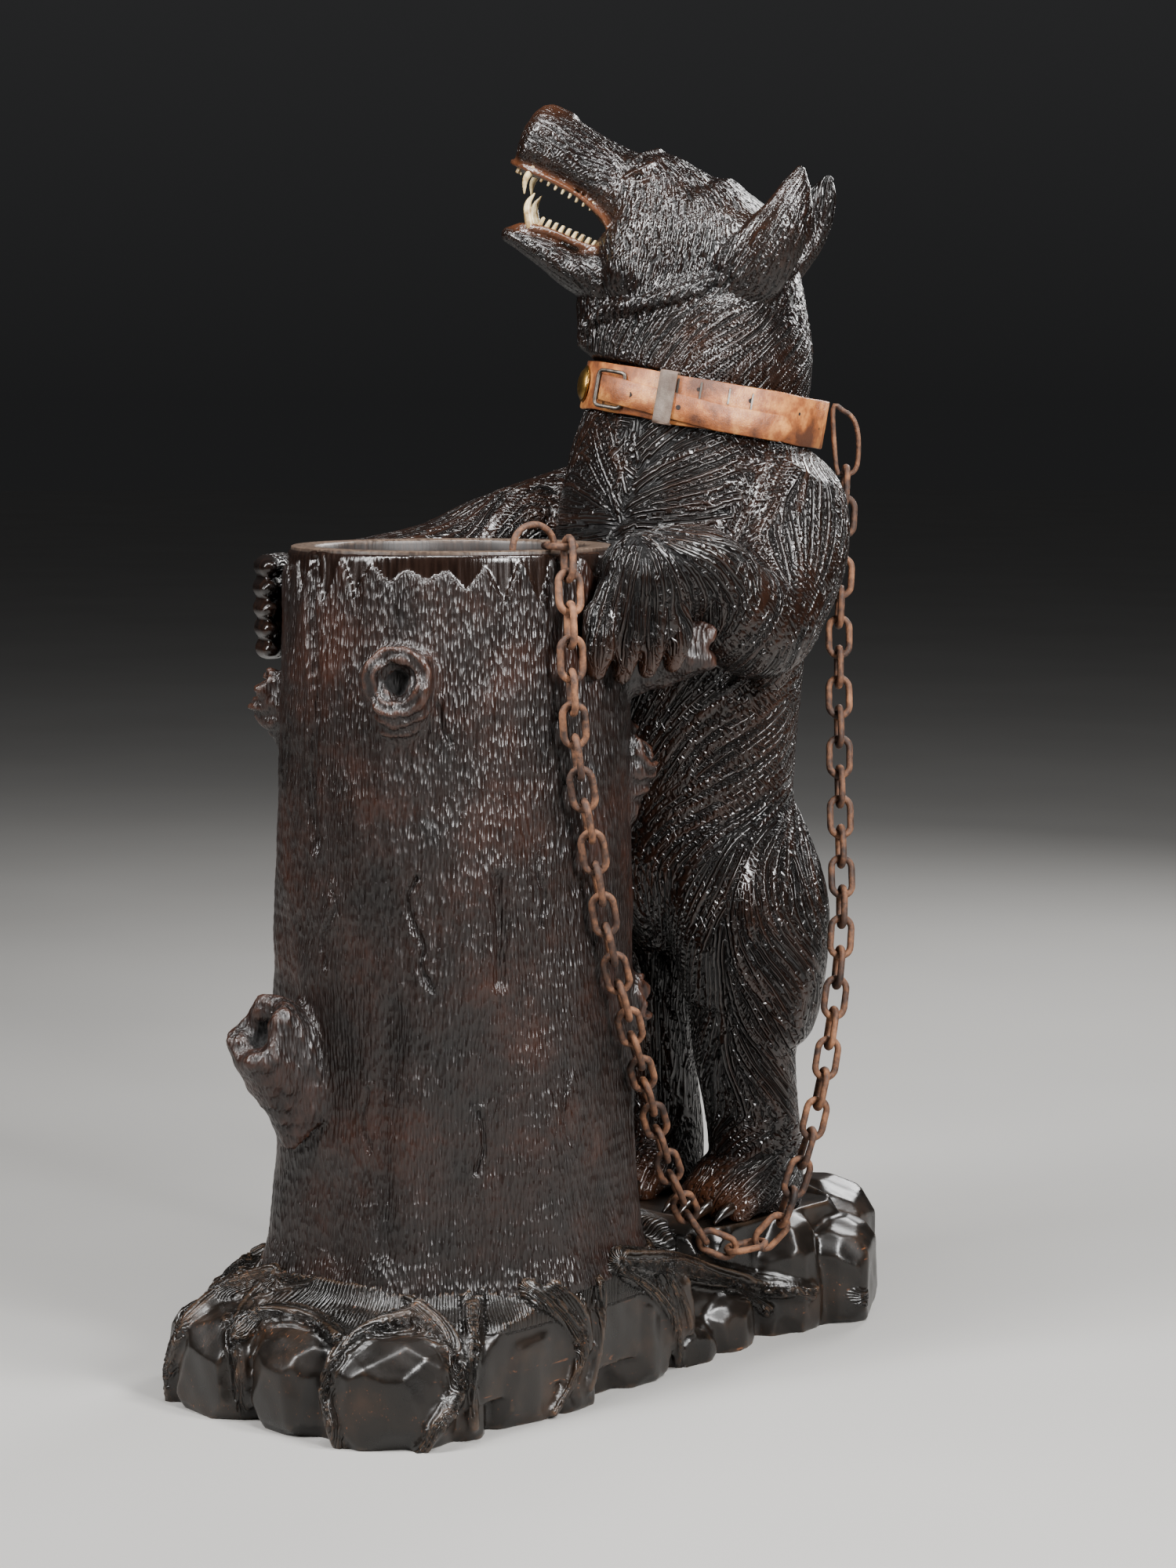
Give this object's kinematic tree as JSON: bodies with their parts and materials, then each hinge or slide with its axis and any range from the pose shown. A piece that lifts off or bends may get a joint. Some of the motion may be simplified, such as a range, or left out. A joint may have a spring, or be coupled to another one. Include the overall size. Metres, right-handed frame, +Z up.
{
  "type": "umbrella stand",
  "caption": "Carved wooden bear that stands behind a hollow tree trunk for umbrellas, with a leather collar and an iron chain, on a plinth of rocks and roots.",
  "frame": {"origin": "middle of the object's box, on the ground under the plinth", "axes": "+Z up; the trunk stands towards -Y and the bear towards +Y, facing the trunk; the chain hangs on the +X side"},
  "size_m": [0.4078, 0.7518, 1.1401],
  "materials": {
    "wood_bear": "dark stained and waxed, rubbed to red brown on the edges",
    "wood_trunk": "dark stained bark with a polished rim",
    "wood_base": "dark stained and varnished facets",
    "leather": "worn tan leather",
    "keeper": "worn grey brown leather",
    "iron": "dark forged iron",
    "rusty_iron": "rusty forged iron",
    "brass": "old brass, dark in its hollows"
  },
  "bodies": {
    "root": {"base": "wood_base", "trunk": "wood_trunk", "bear": "wood_bear", "collar_band": "leather", "collar_strap": "leather", "collar_keeper": "keeper", "collar_buckle": "iron", "collar_boss": "brass", "collar_ring": "rusty_iron", "rim_staple": "rusty_iron", "chain_link_00": "rusty_iron", "chain_link_01": "rusty_iron", "chain_link_02": "rusty_iron", "chain_link_03": "rusty_iron", "chain_link_04": "rusty_iron", "chain_link_05": "rusty_iron", "chain_link_06": "rusty_iron", "chain_link_07": "rusty_iron", "chain_link_08": "rusty_iron", "chain_link_09": "rusty_iron", "chain_link_10": "rusty_iron", "chain_link_11": "rusty_iron", "chain_link_12": "rusty_iron", "chain_link_13": "rusty_iron", "chain_link_14": "rusty_iron", "chain_link_15": "rusty_iron", "chain_link_16": "rusty_iron", "chain_link_17": "rusty_iron", "chain_link_18": "rusty_iron", "chain_link_19": "rusty_iron", "chain_link_20": "rusty_iron", "chain_link_21": "rusty_iron", "chain_link_22": "rusty_iron", "chain_link_23": "rusty_iron", "chain_link_24": "rusty_iron", "chain_link_25": "rusty_iron", "chain_link_26": "rusty_iron", "chain_link_27": "rusty_iron", "chain_link_28": "rusty_iron", "chain_link_29": "rusty_iron", "chain_link_30": "rusty_iron", "chain_link_31": "rusty_iron", "chain_link_32": "rusty_iron", "chain_link_33": "rusty_iron", "chain_link_34": "rusty_iron", "chain_link_35": "rusty_iron", "chain_link_36": "rusty_iron", "chain_link_37": "rusty_iron", "chain_link_38": "rusty_iron", "chain_link_39": "rusty_iron", "chain_link_40": "rusty_iron", "chain_link_41": "rusty_iron", "chain_link_42": "rusty_iron", "chain_link_43": "rusty_iron", "chain_link_44": "rusty_iron", "chain_link_45": "rusty_iron", "chain_link_46": "rusty_iron", "chain_link_47": "rusty_iron", "chain_link_48": "rusty_iron", "chain_end": "rusty_iron"}
  },
  "joints": []
}
